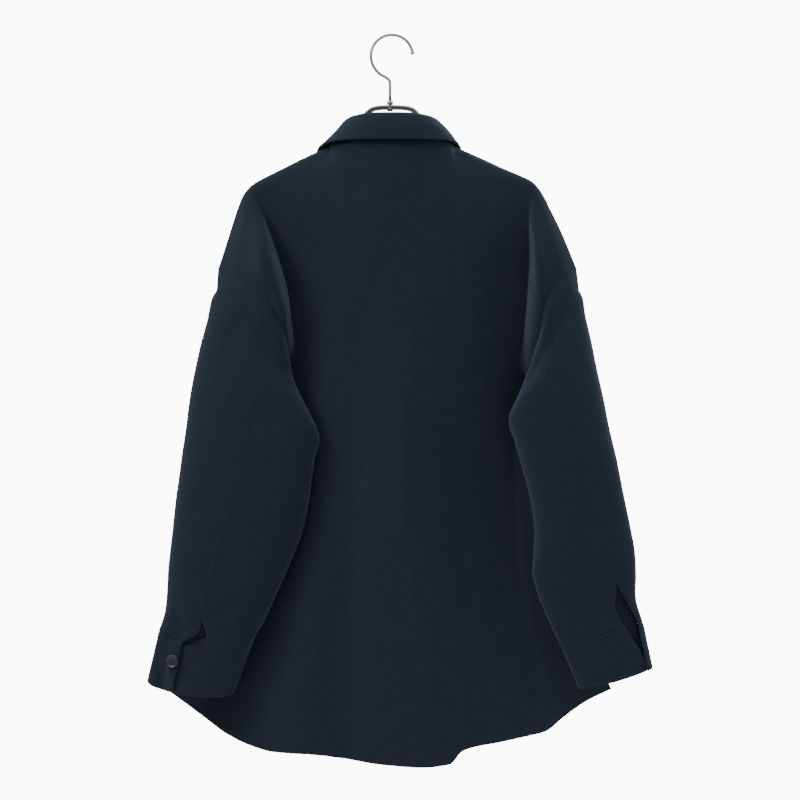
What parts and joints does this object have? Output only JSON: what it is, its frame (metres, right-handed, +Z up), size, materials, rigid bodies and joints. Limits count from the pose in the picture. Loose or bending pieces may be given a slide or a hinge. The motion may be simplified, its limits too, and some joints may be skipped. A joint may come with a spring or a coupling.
{
  "type": "shacket on a hanger",
  "caption": "Loose drop-shoulder shirt-jacket with a turn-down collar, two-piece cuffed sleeves and a curved hem, hanging on a slim hanger with an open wire hook.",
  "frame": {"origin": "the hook's seat: the highest point on the inside of the hook's curve, where it rests on a rail", "axes": "+Z up; +X towards the wearer's left; the wearer's front faces -Y"},
  "size_m": [0.6793, 0.1516, 0.9863],
  "materials": {
    "wool": "soft brushed wool cloth, matt, nearly black navy",
    "button": "dark resin, satin",
    "hanger_plastic": "plain grey moulded plastic",
    "steel": "plated wire"
  },
  "bodies": {
    "root": {"back_panel": "wool", "front_left": "wool", "front_right": "wool", "collar_stand": "wool", "collar_fall": "wool", "sleeve_upper_left": "wool", "sleeve_under_left": "wool", "cuff_left": "wool", "sleeve_upper_right": "wool", "sleeve_under_right": "wool", "cuff_right": "wool", "button_front_1": "button", "button_front_2": "button", "button_front_3": "button", "button_front_4": "button", "button_front_5": "button", "button_front_6": "button", "button_collar": "button", "button_cuff_left": "button", "button_cuff_right": "button", "hanger_bar": "hanger_plastic", "hook": "steel", "hook_nut": "steel"}
  },
  "joints": []
}
